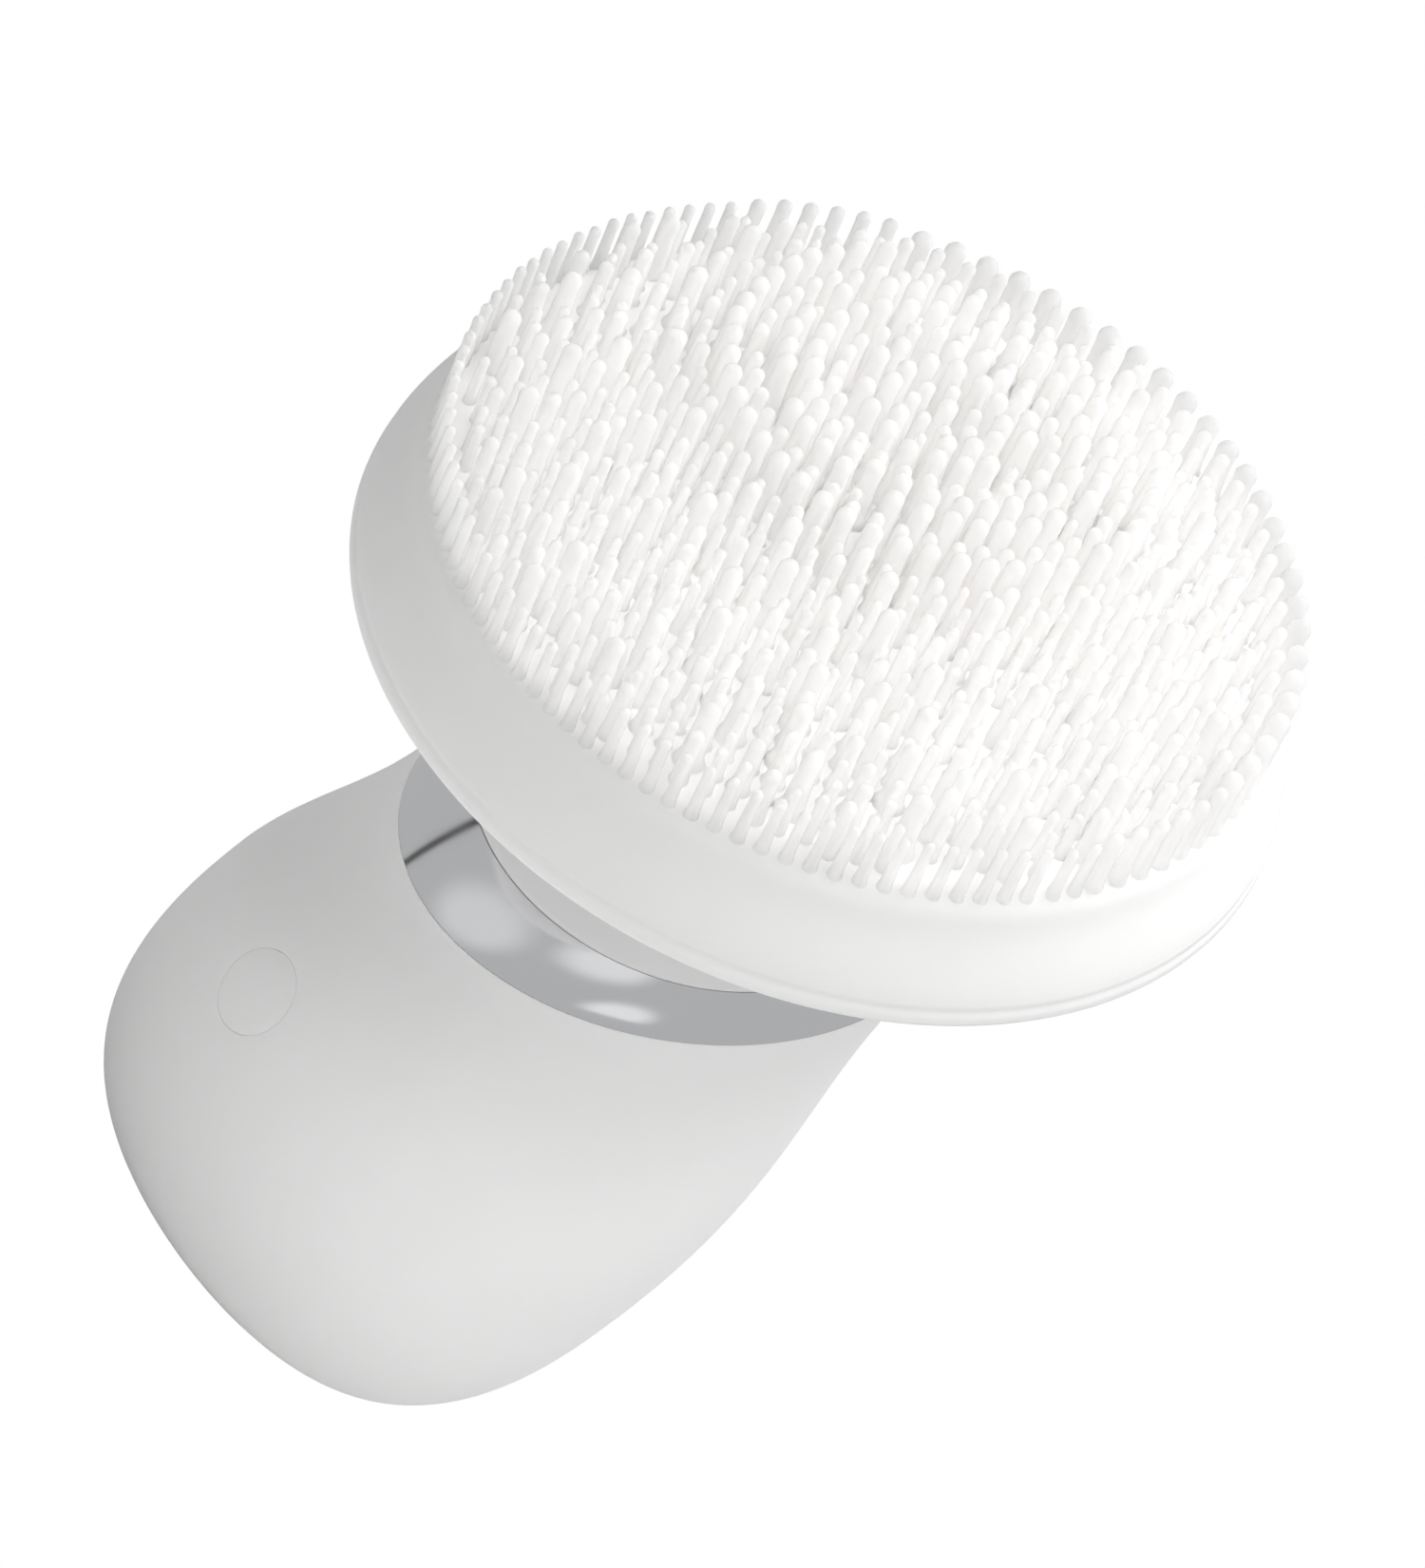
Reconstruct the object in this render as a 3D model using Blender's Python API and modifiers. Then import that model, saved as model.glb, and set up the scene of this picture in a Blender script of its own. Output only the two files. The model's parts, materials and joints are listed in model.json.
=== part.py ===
"""Facial cleansing brush: a bulb handle with a tilted, removable silicone brush head.

The brush stands on its flat base at the origin, +Z up, with its front (the button side) towards -Y.
Pieces on the tilted drive axis are modelled upright and parented to the empty HEAD_AXIS, whose
local +Z is the drive axis and whose local -Y points to the front and down.
"""
import math

import bmesh
import bpy
from mathutils import Matrix, Vector

MM = 0.001

# --- driving dimensions -------------------------------------------------------------------------
HEAD_TILT = math.radians(37.0)          # drive axis leans this far forward of the handle axis
HEAD_CENTRE = (0.0, -13.75 * MM, 68.5 * MM)
HEAD_RADIUS = 36.0 * MM                 # widest circle of the silicone pad, local height 0
GAP = 0.3 * MM                          # clearance between pieces that touch

PAD_EDGE_RADIUS = 33.2 * MM             # where the side wall of the pad meets its bristled top
PAD_EDGE_HEIGHT = 9.4 * MM
BRISTLE_RADIUS = 32.6 * MM              # edge of the bristle field
BRISTLE_HEIGHTS = (5.4 * MM, 7.5 * MM)  # above the pad's top, at its edge and at its centre
PAD_SKIN = 2.2 * MM
PAD_LIP_RADIUS = 31.5 * MM

BULB_RADIUS = 23.5 * MM
BULB_HEIGHT = 20.4 * MM                 # height of the widest section
BASE_RADIUS = 9.1 * MM
BASE_ROUNDNESS = 2.48                   # exponent of the bulb's lower curve
NECK_CENTRE = (-3.58 * MM, 48.3 * MM)   # y and z of the handle's top edge, parallel to the head
NECK_SIDE = 18.75 * MM                  # half widths of the top edge: side to side, front to back
NECK_DEPTH = 22.85 * MM
FRONT_LEAN = math.radians(-3.4)         # the wall's slope at the top edge, backwards going down
BACK_LEAN = math.radians(15.0)
FRONT_PULL = (22.0 * MM, 4.5 * MM)      # how far the top and bottom slopes carry, front and back
BACK_PULL = (57.0 * MM, 68.0 * MM)
SKIN_WALL = 2.0 * MM
BASE_OPENING = 8.0 * MM

RING_LOW = -22.0 * MM                   # chrome ring, local heights on the drive axis
RING_HIGH = -18.6 * MM
RING_FRONT = 3.95 * MM                  # forward offset of the neck section from the drive axis
COLLAR_FRONT = 4.9 * MM                 # forward offset of the collar's lower edge
COLLAR_RADIUS = 16.8 * MM
COLLAR_TOP = -6.0 * MM
SKIRT_END = -21.6 * MM
COLLAR_TOP_RADIUS = 12.5 * MM

MODULE = 0.4 * MM                       # gear tooth size
PINION_TEETH = 10
IDLER_BIG_TEETH = 36
IDLER_SMALL_TEETH = 12
OUTPUT_TEETH = 40
SHAFT_RADIUS = 2.0 * MM
HEX_WIDTH = 6.0 * MM                    # across the flats of the shaft's drive end
IDLER_ANGLE = math.radians(-51.0)       # direction of the idler from the drive axis
PINION_BACK_ANGLE = math.radians(202.0)  # direction of the motor from the idler
OUTPUT_LEVEL = (-28.0 * MM, -25.2 * MM)
IDLER_LEVEL = (-31.6 * MM, -29.2 * MM)
GEARBOX_RADIUS = 16.2 * MM
GEARBOX_FRONT = 5.0 * MM
GEARBOX_FLOOR = -34.4 * MM
GEARBOX_RIM = -24.6 * MM
COVER_LOW = -24.3 * MM
COVER_HIGH = -23.1 * MM
GEARBOX_WALL = 1.1 * MM
MOTOR_RADIUS = 6.0 * MM
MOTOR_TOP = -34.9 * MM
MOTOR_LENGTH = 20.0 * MM
END_CAP_LENGTH = 2.0 * MM

BUTTON_HEIGHT = 20.2 * MM               # above the base
BUTTON_RADIUS = 3.45 * MM
BATTERY_SIZE = (22.0 * MM, 18.0 * MM, 5.5 * MM)
BATTERY_BOTTOM = 5.0 * MM
BOARD_SIZE = (18.0 * MM, 1.1 * MM, 16.0 * MM)
BOARD_FRONT = -17.0 * MM
BOARD_BOTTOM = 12.3 * MM
WIRE_RADIUS = 0.4 * MM

FINE = 40                               # segments round a large visible piece
MEDIUM = 28
COARSE = 18


# --- scene set-up -------------------------------------------------------------------------------
for old in list(bpy.data.objects):
    bpy.data.objects.remove(old, do_unlink=True)


def new_collection(name):
    collection = bpy.data.collections.new(name)
    bpy.context.scene.collection.children.link(collection)
    return collection


PARTS = new_collection("facial_cleansing_brush")
CUTTERS = new_collection("cutters")


def new_material(name, colour, roughness, metallic=0.0):
    material = bpy.data.materials.new(name)
    material.use_nodes = True
    shader = material.node_tree.nodes["Principled BSDF"]
    shader.inputs["Base Color"].default_value = (*colour, 1.0)
    shader.inputs["Roughness"].default_value = roughness
    shader.inputs["Metallic"].default_value = metallic
    return material


SILICONE = new_material("silicone_white", (0.90, 0.90, 0.90), 0.45)
SOFT_TOUCH = new_material("soft_touch_white", (0.86, 0.86, 0.85), 0.55)
WHITE_PLASTIC = new_material("gloss_white_plastic", (0.88, 0.88, 0.88), 0.25)
CHROME = new_material("chrome_plating", (0.80, 0.81, 0.84), 0.06, 1.0)
STEEL = new_material("steel", (0.55, 0.56, 0.58), 0.30, 1.0)
GEAR_PLASTIC = new_material("gear_acetal", (0.82, 0.80, 0.72), 0.40)
FRAME_PLASTIC = new_material("frame_plastic", (0.16, 0.16, 0.17), 0.55)
BRONZE = new_material("bronze", (0.62, 0.45, 0.22), 0.35, 1.0)
RUBBER = new_material("black_rubber", (0.04, 0.04, 0.04), 0.70)
BOARD_GREEN = new_material("board_green", (0.03, 0.20, 0.09), 0.45)
BATTERY_FILM = new_material("battery_film", (0.25, 0.36, 0.52), 0.40)
GOLD = new_material("gold_plating", (0.83, 0.65, 0.28), 0.20, 1.0)
RED_WIRE = new_material("red_wire", (0.60, 0.04, 0.03), 0.50)
BLACK_WIRE = new_material("black_wire", (0.02, 0.02, 0.02), 0.50)


def new_axis(name, location, tilt=0.0, parent=None):
    axis = bpy.data.objects.new(name, None)
    axis.location = location
    axis.rotation_euler = (tilt, 0.0, 0.0)
    axis.parent = parent
    PARTS.objects.link(axis)
    return axis


IDLER_DISTANCE = MODULE * (OUTPUT_TEETH + IDLER_SMALL_TEETH) / 2
PINION_DISTANCE = MODULE * (IDLER_BIG_TEETH + PINION_TEETH) / 2
IDLER_AT = Vector((math.cos(IDLER_ANGLE), math.sin(IDLER_ANGLE), 0.0)) * IDLER_DISTANCE
PINION_AT = IDLER_AT + Vector((math.cos(PINION_BACK_ANGLE), math.sin(PINION_BACK_ANGLE), 0.0)) * PINION_DISTANCE

HEAD_AXIS = new_axis("head_axis", HEAD_CENTRE, HEAD_TILT)
IDLER_AXIS = new_axis("idler_axis", IDLER_AT, parent=HEAD_AXIS)
MOTOR_AXIS = new_axis("motor_axis", PINION_AT, parent=HEAD_AXIS)
GEARBOX_AXIS = new_axis("gearbox_axis", (0.0, -GEARBOX_FRONT, 0.0), parent=HEAD_AXIS)
BUTTON_AXIS = new_axis("button_axis", (0.0, 0.0, BUTTON_HEIGHT), math.radians(90.0))


# --- modelling helpers --------------------------------------------------------------------------
def add_object(name, mesh, material, parent=None, cutter=False):
    piece = bpy.data.objects.new(name, mesh)
    piece.parent = parent
    (CUTTERS if cutter else PARTS).objects.link(piece)
    if cutter:
        piece.hide_render = True
        piece.display_type = "WIRE"
    else:
        mesh.materials.clear()
        mesh.materials.append(material)
    return piece


def turned(name, profile, material=None, parent=None, segments=MEDIUM, at=(0.0, 0.0), cutter=False):
    """Solid of revolution about local Z from (radius, height) points, outer side top to bottom."""
    mesh = bpy.data.meshes.new(name)
    closed = profile[0][0] > 0.0
    edges = [(i, i + 1) for i in range(len(profile) - 1)]
    if closed:
        edges.append((len(profile) - 1, 0))
    mesh.from_pydata([(radius, 0.0, height) for radius, height in profile], edges, [])
    piece = add_object(name, mesh, material, parent, cutter)
    piece.location = (at[0], at[1], 0.0)
    screw = piece.modifiers.new("turn", "SCREW")
    screw.angle = math.tau
    screw.steps = segments
    screw.render_steps = segments
    screw.use_merge_vertices = True
    screw.merge_threshold = 0.00001
    screw.use_smooth_shade = True
    return piece


def tube(name, inner, outer, low, high, material=None, parent=None, segments=COARSE, at=(0.0, 0.0)):
    profile = [(outer, high), (outer, low), (inner, low), (inner, high)]
    return turned(name, profile, material, parent, segments, at)


def rod_profile(radius, low, high):
    return [(0.0, high), (radius, high), (radius, low), (0.0, low)]


def rod_cutter(name, radius, low, high, parent=None, at=(0.0, 0.0), segments=COARSE):
    return turned(name, rod_profile(radius, low, high), None, parent, segments, at, cutter=True)


def box(name, size, centre, material=None, cutter=False, bevel=0.0):
    mesh = bpy.data.meshes.new(name)
    shape = bmesh.new()
    bmesh.ops.create_cube(shape, size=1.0)
    bmesh.ops.scale(shape, vec=size, verts=shape.verts)
    shape.to_mesh(mesh)
    shape.free()
    piece = add_object(name, mesh, material, cutter=cutter)
    piece.location = centre
    if bevel:
        rounding = piece.modifiers.new("rounded_edges", "BEVEL")
        rounding.width = bevel
        rounding.segments = 2
    return piece


def combine(piece, tool, operation="DIFFERENCE"):
    """Cut piece with tool, or join tool to it, by a Boolean modifier."""
    boolean = piece.modifiers.new(tool.name, "BOOLEAN")
    boolean.operation = operation
    boolean.solver = "EXACT"
    boolean.object = tool
    return piece


def outline_mesh(name, loops, low, high):
    """Prism between two heights; the first loop is the outline and any others are holes."""
    curve = bpy.data.curves.new(name + "_outline", "CURVE")
    curve.dimensions = "2D"
    curve.fill_mode = "BOTH"
    curve.extrude = (high - low) / 2
    for loop in loops:
        spline = curve.splines.new("POLY")
        spline.points.add(len(loop) - 1)
        for point, (x, y) in zip(spline.points, loop):
            point.co = (x, y, 0.0, 1.0)
        spline.use_cyclic_u = True
    source = bpy.data.objects.new(name + "_source", curve)
    CUTTERS.objects.link(source)
    evaluated = source.evaluated_get(bpy.context.evaluated_depsgraph_get())
    mesh = bpy.data.meshes.new_from_object(evaluated)
    bpy.data.objects.remove(source, do_unlink=True)
    shape = bmesh.new()
    shape.from_mesh(mesh)
    bmesh.ops.remove_doubles(shape, verts=shape.verts, dist=0.000001)
    bmesh.ops.translate(shape, verts=shape.verts, vec=(0.0, 0.0, (low + high) / 2))
    bmesh.ops.recalc_face_normals(shape, faces=shape.faces)
    shape.to_mesh(mesh)
    shape.free()
    return mesh


def circle_points(radius, segments, start=0.0):
    turn = math.tau / segments
    return [(radius * math.cos(start + i * turn), radius * math.sin(start + i * turn)) for i in range(segments)]


def gear_points(teeth, facing):
    """Outline of a spur gear with the middle of one tooth at the angle facing."""
    pitch_radius = MODULE * teeth / 2
    pitch = math.tau / teeth
    tip_radius = pitch_radius + 0.85 * MODULE
    root_radius = pitch_radius - 1.15 * MODULE
    tip_half = 0.12 * pitch
    root_half = 0.27 * pitch
    points = []
    for tooth in range(teeth):
        middle = facing + tooth * pitch
        for radius, offset in ((root_radius, -root_half), (tip_radius, -tip_half),
                               (tip_radius, tip_half), (root_radius, root_half)):
            points.append((radius * math.cos(middle + offset), radius * math.sin(middle + offset)))
    return points


def loft(name, rings, material, parent=None, segments=FINE):
    """Closed wall through a loop of elliptical rings: outer ones from top to bottom, then inner ones."""
    mesh = bpy.data.meshes.new(name)
    shape = bmesh.new()
    levels = []
    for centre, tilt, side, depth in rings:
        place = Matrix.Translation(centre) @ Matrix.Rotation(tilt, 4, "X")
        levels.append([shape.verts.new(place @ Vector((side * x, depth * y, 0.0)))
                       for x, y in circle_points(1.0, segments)])
    for upper, lower in zip(levels, levels[1:] + levels[:1]):
        for i in range(segments):
            j = (i + 1) % segments
            shape.faces.new((upper[i], lower[i], lower[j], upper[j]))
    for face in shape.faces:
        face.smooth = True
    shape.to_mesh(mesh)
    shape.free()
    mesh.set_sharp_from_angle(angle=math.radians(40.0))
    return add_object(name, mesh, material, parent)


def head_ring(side, height, forward=0.0, depth=None):
    """Ring parallel to the head, in the drive axis's own frame."""
    return (Vector((0.0, -forward, height)), 0.0, side, depth or side)


def lead(name, points, material):
    curve = bpy.data.curves.new(name, "CURVE")
    curve.dimensions = "3D"
    curve.bevel_depth = WIRE_RADIUS
    curve.bevel_resolution = 2
    curve.use_fill_caps = True
    spline = curve.splines.new("POLY")
    spline.points.add(len(points) - 1)
    for point, (x, y, z) in zip(spline.points, points):
        point.co = (x * MM, y * MM, z * MM, 1.0)
    source = bpy.data.objects.new(name + "_source", curve)
    CUTTERS.objects.link(source)
    evaluated = source.evaluated_get(bpy.context.evaluated_depsgraph_get())
    mesh = bpy.data.meshes.new_from_object(evaluated)
    bpy.data.objects.remove(source, do_unlink=True)
    shape = bmesh.new()
    shape.from_mesh(mesh)
    bmesh.ops.remove_doubles(shape, verts=shape.verts, dist=0.000001)
    shape.to_mesh(mesh)
    shape.free()
    return add_object(name, mesh, material)


# --- handle shape -------------------------------------------------------------------------------
def hermite(t, start, start_slope, end, end_slope):
    return (start * (2 * t ** 3 - 3 * t ** 2 + 1) + start_slope * (t ** 3 - 2 * t ** 2 + t)
            + end * (3 * t ** 2 - 2 * t ** 3) + end_slope * (t ** 3 - t ** 2))


def wall_point(t, side, lean, pull):
    """Point of the handle's front (side -1) or back (side 1) wall, from top edge to widest section."""
    top = (Vector(NECK_CENTRE) + side * NECK_DEPTH * Vector((math.cos(HEAD_TILT), math.sin(HEAD_TILT))))
    bulb = Vector((side * BULB_RADIUS, BULB_HEIGHT))
    top_slope = pull[0] * Vector((math.sin(lean), -math.cos(lean)))
    return hermite(t, top, top_slope, bulb, Vector((0.0, -pull[1])))


def upper_ring(t, inset=0.0):
    """Section of the handle between its tilted top edge (t = 0) and its widest level (t = 1)."""
    front = wall_point(t, -1, FRONT_LEAN, FRONT_PULL)
    back = wall_point(t, 1, BACK_LEAN, BACK_PULL)
    middle = (front + back) / 2
    across = back - front
    side = hermite(t, NECK_SIDE, 0.0, BULB_RADIUS, 0.0)
    tilt = math.atan2(across.y, across.x)
    return (Vector((0.0, middle.x, middle.y)), tilt, side - inset, across.length / 2 - inset)


def lower_ring(angle, inset=0.0, floor=0.0, base=BASE_RADIUS):
    """Round section of the bulb below its widest level: angle 0 there, a right angle at the floor."""
    widest = BULB_RADIUS - inset
    drop = math.sin(angle)
    radius = base + (widest - base) * (1.0 - drop ** BASE_ROUNDNESS) ** (1.0 / BASE_ROUNDNESS)
    return (Vector((0.0, 0.0, BULB_HEIGHT - (BULB_HEIGHT - floor) * drop)), 0.0, radius, radius)


def handle_rings(upper, lower, inset=0.0, **bottom):
    rings = [upper_ring(i / upper, inset) for i in range(upper + 1)]
    rings += [lower_ring(math.pi / 2 * i / lower, inset, **bottom) for i in range(1, lower + 1)]
    return rings


def make_handle_skin():
    floor = 2.2 * MM
    rings = handle_rings(9, 7)
    rings.append((Vector((0.0, 0.0, 0.0)), 0.0, BASE_OPENING, BASE_OPENING))
    rings.append((Vector((0.0, 0.0, floor)), 0.0, BASE_OPENING, BASE_OPENING))
    rings += reversed(handle_rings(7, 5, SKIN_WALL, floor=floor, base=9.5 * MM))
    skin = loft("handle_skin", rings, SOFT_TOUCH)
    hole = rod_cutter("button_hole", BUTTON_RADIUS + GAP, 15.0 * MM, 26.0 * MM, BUTTON_AXIS, segments=24)
    combine(skin, hole)


# --- brush head ---------------------------------------------------------------------------------
def make_bristle_pad():
    """Silicone cap with a plain block for its bristle field."""
    edge, centre = BRISTLE_HEIGHTS
    profile = [
        (0.0, PAD_EDGE_HEIGHT + centre),
        (BRISTLE_RADIUS * 0.6, PAD_EDGE_HEIGHT + centre - 0.5 * MM),
        (BRISTLE_RADIUS, PAD_EDGE_HEIGHT + edge),
        (PAD_EDGE_RADIUS, PAD_EDGE_HEIGHT),
        (35.1 * MM, 6.2 * MM),
        (35.85 * MM, 2.8 * MM),
        (HEAD_RADIUS, 0.2 * MM),
        (35.5 * MM, -0.8 * MM),
        (34.3 * MM, -1.7 * MM),
        (32.9 * MM, -2.3 * MM),
        (PAD_LIP_RADIUS, -2.5 * MM),
        (PAD_LIP_RADIUS, -1.5 * MM),
        (33.8 * MM, -0.4 * MM),
        (33.4 * MM, 3.0 * MM),
        (31.1 * MM, PAD_EDGE_HEIGHT - PAD_SKIN),
        (0.0, PAD_EDGE_HEIGHT - PAD_SKIN),
    ]
    turned("bristle_pad", profile, SILICONE, HEAD_AXIS, FINE)


def make_pad_core():
    """Rigid dish that stiffens the pad, with a boss for the drive socket."""
    top = PAD_EDGE_HEIGHT - PAD_SKIN - GAP
    profile = [
        (0.0, top),
        (30.6 * MM, top),
        (32.9 * MM, 3.0 * MM),
        (33.2 * MM, 0.1 * MM),
        (31.6 * MM, 0.1 * MM),
        (29.4 * MM, top - 1.6 * MM),
        (8.0 * MM, top - 1.6 * MM),
        (8.0 * MM, -1.0 * MM),
        (5.6 * MM, -1.0 * MM),
        (5.6 * MM, 4.8 * MM),
        (0.0, 4.8 * MM),
    ]
    turned("pad_core", profile, WHITE_PLASTIC, HEAD_AXIS)


def make_backplate():
    profile = [
        (31.1 * MM, -0.3 * MM),
        (31.1 * MM, -2.3 * MM),
        (20.0 * MM, -3.7 * MM),
        (8.9 * MM, -4.1 * MM),
        (8.9 * MM, -2.5 * MM),
        (28.4 * MM, -1.7 * MM),
        (28.8 * MM, -0.3 * MM),
    ]
    turned("backplate", profile, WHITE_PLASTIC, HEAD_AXIS, FINE)


def hex_cutter(name, across_flats, low, high):
    circumradius = across_flats / math.sqrt(3.0)
    mesh = outline_mesh(name, [circle_points(circumradius, 6)], low, high)
    return add_object(name, mesh, None, HEAD_AXIS, cutter=True)


def make_drive_socket():
    profile = [
        (0.0, 3.4 * MM),
        (5.3 * MM, 3.4 * MM),
        (5.3 * MM, -1.3 * MM),
        (8.3 * MM, -1.3 * MM),
        (8.3 * MM, -3.9 * MM),
        (0.0, -3.9 * MM),
    ]
    socket = turned("drive_socket", profile, GEAR_PLASTIC, HEAD_AXIS)
    combine(socket, hex_cutter("socket_bore", HEX_WIDTH + 2 * GAP, -6.0 * MM, 2.4 * MM))


def make_head_magnet():
    turned("head_magnet", rod_profile(4.6 * MM, 3.7 * MM, 4.5 * MM), STEEL, HEAD_AXIS, COARSE)


# --- drive --------------------------------------------------------------------------------------
def make_drive_shaft():
    shaft = turned("drive_shaft", rod_profile(SHAFT_RADIUS, -33.9 * MM, -4.0 * MM), STEEL, HEAD_AXIS, COARSE)
    combine(shaft, hex_cutter("shaft_hex", HEX_WIDTH, -4.8 * MM, 2.0 * MM), "UNION")


def make_gear(name, teeth, facing, level, bore, parent):
    mesh = outline_mesh(name, [gear_points(teeth, facing), circle_points(bore, COARSE)], *level)
    return add_object(name, mesh, GEAR_PLASTIC, parent)


def make_gears():
    """Each pair meets with a tooth of one gear in a gap of the other."""
    make_gear("output_gear", OUTPUT_TEETH, IDLER_ANGLE, OUTPUT_LEVEL, SHAFT_RADIUS + GAP, HEAD_AXIS)
    pin_bore = 1.05 * MM
    idler = make_gear("idler_gear", IDLER_BIG_TEETH, PINION_BACK_ANGLE, IDLER_LEVEL, pin_bore, IDLER_AXIS)
    half_tooth = math.pi / IDLER_SMALL_TEETH
    facing = IDLER_ANGLE + math.pi + half_tooth
    loops = [gear_points(IDLER_SMALL_TEETH, facing), circle_points(pin_bore, COARSE)]
    mesh = outline_mesh("idler_small_gear", loops, IDLER_LEVEL[1] - 0.5 * MM, OUTPUT_LEVEL[1])
    small = add_object("idler_small_gear", mesh, None, IDLER_AXIS, cutter=True)
    combine(idler, small, "UNION")
    turned("idler_pin", rod_profile(0.75 * MM, -33.9 * MM, -23.6 * MM), STEEL, IDLER_AXIS, COARSE)
    half_tooth = math.pi / PINION_TEETH
    facing = PINION_BACK_ANGLE + math.pi + half_tooth
    level = (IDLER_LEVEL[0] - 0.3 * MM, IDLER_LEVEL[1] + 0.3 * MM)
    make_gear("motor_pinion", PINION_TEETH, facing, level, 0.75 * MM, MOTOR_AXIS)
    turned("motor_shaft", rod_profile(0.45 * MM, -36.6 * MM, -28.7 * MM), STEEL, MOTOR_AXIS, COARSE)


BOSSES = ((9.45 * MM, 3.5 * MM), (-9.45 * MM, 3.5 * MM), (-9.8 * MM, -12.2 * MM))


def make_gearbox():
    """Open dish for the gears, its lid, the bushings of the drive shaft and three screws."""
    floor_top = GEARBOX_FLOOR + 1.2 * MM
    inner = GEARBOX_RADIUS - GEARBOX_WALL
    profile = [
        (GEARBOX_RADIUS, GEARBOX_RIM),
        (GEARBOX_RADIUS, GEARBOX_FLOOR),
        (0.0, GEARBOX_FLOOR),
    ]
    profile = [(0.0, floor_top), (inner, floor_top), (inner, GEARBOX_RIM)] + profile
    base = turned("gearbox_base", profile, FRAME_PLASTIC, GEARBOX_AXIS, MEDIUM)
    cover = turned("gearbox_cover", rod_profile(GEARBOX_RADIUS, COVER_LOW, COVER_HIGH), FRAME_PLASTIC,
                   GEARBOX_AXIS, MEDIUM)
    for number, at in enumerate(BOSSES, 1):
        post = rod_cutter(f"boss_{number}", 1.4 * MM, GEARBOX_FLOOR + 0.6 * MM, GEARBOX_RIM, HEAD_AXIS, at, 10)
        combine(base, post, "UNION")
        hole = rod_cutter(f"screw_hole_{number}", 0.9 * MM, -31.0 * MM, -22.0 * MM, HEAD_AXIS, at, 10)
        combine(base, hole)
        combine(cover, hole)
        profile = [(0.0, -21.6 * MM), (1.5 * MM, -21.6 * MM), (1.5 * MM, -22.8 * MM),
                   (0.6 * MM, -22.8 * MM), (0.6 * MM, -29.5 * MM), (0.0, -29.5 * MM)]
        turned(f"gearbox_screw_{number}", profile, STEEL, HEAD_AXIS, 10, at)
    bushing_hole = rod_cutter("bushing_holes", 4.0 * MM, -36.0 * MM, -21.0 * MM, HEAD_AXIS)
    pin_hole = rod_cutter("pin_hole", 1.05 * MM, -36.0 * MM, -21.0 * MM, IDLER_AXIS)
    motor_hole = rod_cutter("motor_hole", 1.4 * MM, -36.0 * MM, -32.0 * MM, MOTOR_AXIS)
    for cutter in (bushing_hole, pin_hole):
        combine(base, cutter)
        combine(cover, cutter)
    combine(base, motor_hole)
    bore = SHAFT_RADIUS + GAP
    tube("lower_bushing", bore, 3.7 * MM, GEARBOX_FLOOR, -32.6 * MM, BRONZE, HEAD_AXIS)
    profile = [(4.8 * MM, -21.9 * MM), (4.8 * MM, -22.8 * MM), (3.7 * MM, -22.8 * MM),
               (3.7 * MM, -24.6 * MM), (bore, -24.6 * MM), (bore, -21.9 * MM)]
    turned("upper_bushing", profile, BRONZE, HEAD_AXIS, COARSE)


def make_motor():
    bottom = MOTOR_TOP - MOTOR_LENGTH
    can = turned("motor_can", rod_profile(MOTOR_RADIUS, bottom, MOTOR_TOP), STEEL, MOTOR_AXIS, 24)
    combine(can, rod_cutter("motor_bore", 0.75 * MM, -37.0 * MM, -34.0 * MM, MOTOR_AXIS))
    cap_bottom = bottom - GAP - END_CAP_LENGTH
    profile = [
        (0.0, bottom - GAP),
        (5.7 * MM, bottom - GAP),
        (5.7 * MM, cap_bottom + 0.6 * MM),
        (5.1 * MM, cap_bottom),
        (0.0, cap_bottom),
    ]
    turned("motor_end_cap", profile, FRAME_PLASTIC, MOTOR_AXIS, 24)


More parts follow.
